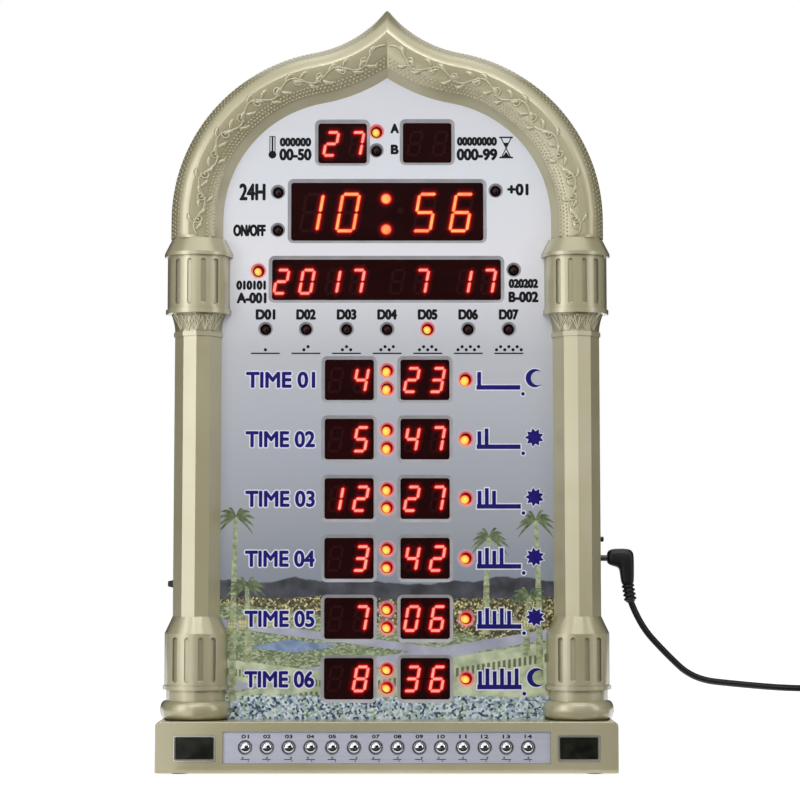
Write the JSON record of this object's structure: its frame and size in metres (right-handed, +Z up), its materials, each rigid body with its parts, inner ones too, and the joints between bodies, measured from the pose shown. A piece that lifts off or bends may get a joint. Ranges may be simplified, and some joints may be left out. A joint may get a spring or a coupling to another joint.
{
  "type": "azan clock",
  "caption": "Free-standing mosque-arch clock with LED time, date and prayer time displays, indicator lamps, a row of set-up keys, side controls and a mains adapter lead.",
  "frame": {"origin": "on the surface that the clock stands on, under the middle of the clock without its mains lead", "axes": "+Z up, the dial faces -Y, and +X is to the right of someone who looks at the dial"},
  "size_m": [0.4768, 0.0611, 0.4427],
  "materials": {
    "gold_frame": "champagne gold metallic lacquer, satin",
    "rear_plastic": "fine texture, black",
    "printed_panel": "silver ink under a clear gloss, with a printed landscape",
    "smoked_filter": "smoked red",
    "digit_module": "black face with red segments",
    "lamp_lens": "amber, diffused",
    "circuit_board": "green solder resist",
    "black_component": "moulded",
    "steel_part": "zinc plated",
    "speaker_black": "black",
    "rubber_foot": "matt",
    "silver_strip": "satin silver",
    "key_chrome": "polished",
    "white_plastic": "moulded",
    "ribbon_grey": "ribbed",
    "dark_window": "polished, dark",
    "control_black": "moulded",
    "lead_black": "soft PVC",
    "nickel": "nickel plated"
  },
  "bodies": {
    "clock": {"arch_frame": "gold_frame", "column_left": "gold_frame", "column_right": "gold_frame", "base_housing": "gold_frame", "rear_cover": "rear_plastic", "base_plate": "rear_plastic", "dial_panel": "printed_panel", "display_filters": "smoked_filter", "schedule_displays": "digit_module", "temperature_display": "digit_module", "countdown_display": "digit_module", "time_display": "digit_module", "date_display": "digit_module", "colon_lamps": "lamp_lens", "schedule_lamps": "lamp_lens", "weekday_lamps": "lamp_lens", "mode_lamps": "lamp_lens", "display_board": "circuit_board", "key_board": "circuit_board", "controller_chips": "black_component", "coin_cell_holder": "black_component", "ir_receiver": "black_component", "tact_switches": "black_component", "dc_jack": "black_component", "reset_switch": "black_component", "slide_switch": "black_component", "case_screws": "steel_part", "short_screws": "steel_part", "coin_cell": "steel_part", "speaker": "speaker_black", "rubber_feet": "rubber_foot", "key_strip": "silver_strip", "ribbon_connectors": "white_plastic", "window_bezels": "white_plastic", "ribbon_cable": "ribbon_grey", "sensor_window_left": "dark_window", "sensor_window_right": "dark_window"},
    "key_01": {"key_01": "key_chrome"},
    "key_02": {"key_02": "key_chrome"},
    "key_03": {"key_03": "key_chrome"},
    "key_04": {"key_04": "key_chrome"},
    "key_05": {"key_05": "key_chrome"},
    "key_06": {"key_06": "key_chrome"},
    "key_07": {"key_07": "key_chrome"},
    "key_08": {"key_08": "key_chrome"},
    "key_09": {"key_09": "key_chrome"},
    "key_10": {"key_10": "key_chrome"},
    "key_11": {"key_11": "key_chrome"},
    "key_12": {"key_12": "key_chrome"},
    "key_13": {"key_13": "key_chrome"},
    "key_14": {"key_14": "key_chrome"},
    "reset_button": {"reset_button": "control_black"},
    "slide_switch_knob": {"slide_switch_knob": "control_black"},
    "power_lead": {"dc_plug": "lead_black", "dc_plug_barrel": "nickel", "power_cord": "lead_black", "cord_coil": "lead_black", "power_cord_tail": "lead_black", "adapter_body": "lead_black", "adapter_pins": "nickel"}
  },
  "joints": [
    {"name": "key_01_press", "type": "slide", "parent": "clock", "child": "key_01", "axis": [0, 1, 0], "range_m": [0, 0.0008], "stiffness_N_per_m": 1500},
    {"name": "key_02_press", "type": "slide", "parent": "clock", "child": "key_02", "axis": [0, 1, 0], "range_m": [0, 0.0008], "stiffness_N_per_m": 1500},
    {"name": "key_03_press", "type": "slide", "parent": "clock", "child": "key_03", "axis": [0, 1, 0], "range_m": [0, 0.0008], "stiffness_N_per_m": 1500},
    {"name": "key_04_press", "type": "slide", "parent": "clock", "child": "key_04", "axis": [0, 1, 0], "range_m": [0, 0.0008], "stiffness_N_per_m": 1500},
    {"name": "key_05_press", "type": "slide", "parent": "clock", "child": "key_05", "axis": [0, 1, 0], "range_m": [0, 0.0008], "stiffness_N_per_m": 1500},
    {"name": "key_06_press", "type": "slide", "parent": "clock", "child": "key_06", "axis": [0, 1, 0], "range_m": [0, 0.0008], "stiffness_N_per_m": 1500},
    {"name": "key_07_press", "type": "slide", "parent": "clock", "child": "key_07", "axis": [0, 1, 0], "range_m": [0, 0.0008], "stiffness_N_per_m": 1500},
    {"name": "key_08_press", "type": "slide", "parent": "clock", "child": "key_08", "axis": [0, 1, 0], "range_m": [0, 0.0008], "stiffness_N_per_m": 1500},
    {"name": "key_09_press", "type": "slide", "parent": "clock", "child": "key_09", "axis": [0, 1, 0], "range_m": [0, 0.0008], "stiffness_N_per_m": 1500},
    {"name": "key_10_press", "type": "slide", "parent": "clock", "child": "key_10", "axis": [0, 1, 0], "range_m": [0, 0.0008], "stiffness_N_per_m": 1500},
    {"name": "key_11_press", "type": "slide", "parent": "clock", "child": "key_11", "axis": [0, 1, 0], "range_m": [0, 0.0008], "stiffness_N_per_m": 1500},
    {"name": "key_12_press", "type": "slide", "parent": "clock", "child": "key_12", "axis": [0, 1, 0], "range_m": [0, 0.0008], "stiffness_N_per_m": 1500},
    {"name": "key_13_press", "type": "slide", "parent": "clock", "child": "key_13", "axis": [0, 1, 0], "range_m": [0, 0.0008], "stiffness_N_per_m": 1500},
    {"name": "key_14_press", "type": "slide", "parent": "clock", "child": "key_14", "axis": [0, 1, 0], "range_m": [0, 0.0008], "stiffness_N_per_m": 1500},
    {"name": "reset_press", "type": "slide", "parent": "clock", "child": "reset_button", "axis": [-1, 0, 0], "range_m": [0, 0.0005], "stiffness_N_per_m": 2000},
    {"name": "slide_switch_travel", "type": "slide", "parent": "clock", "child": "slide_switch_knob", "axis": [0, 0, 1], "range_m": [-0.002, 0.002]},
    {"name": "plug_pull", "type": "slide", "parent": "clock", "child": "power_lead", "axis": [1, 0, 0], "range_m": [0, 0.008]}
  ]
}
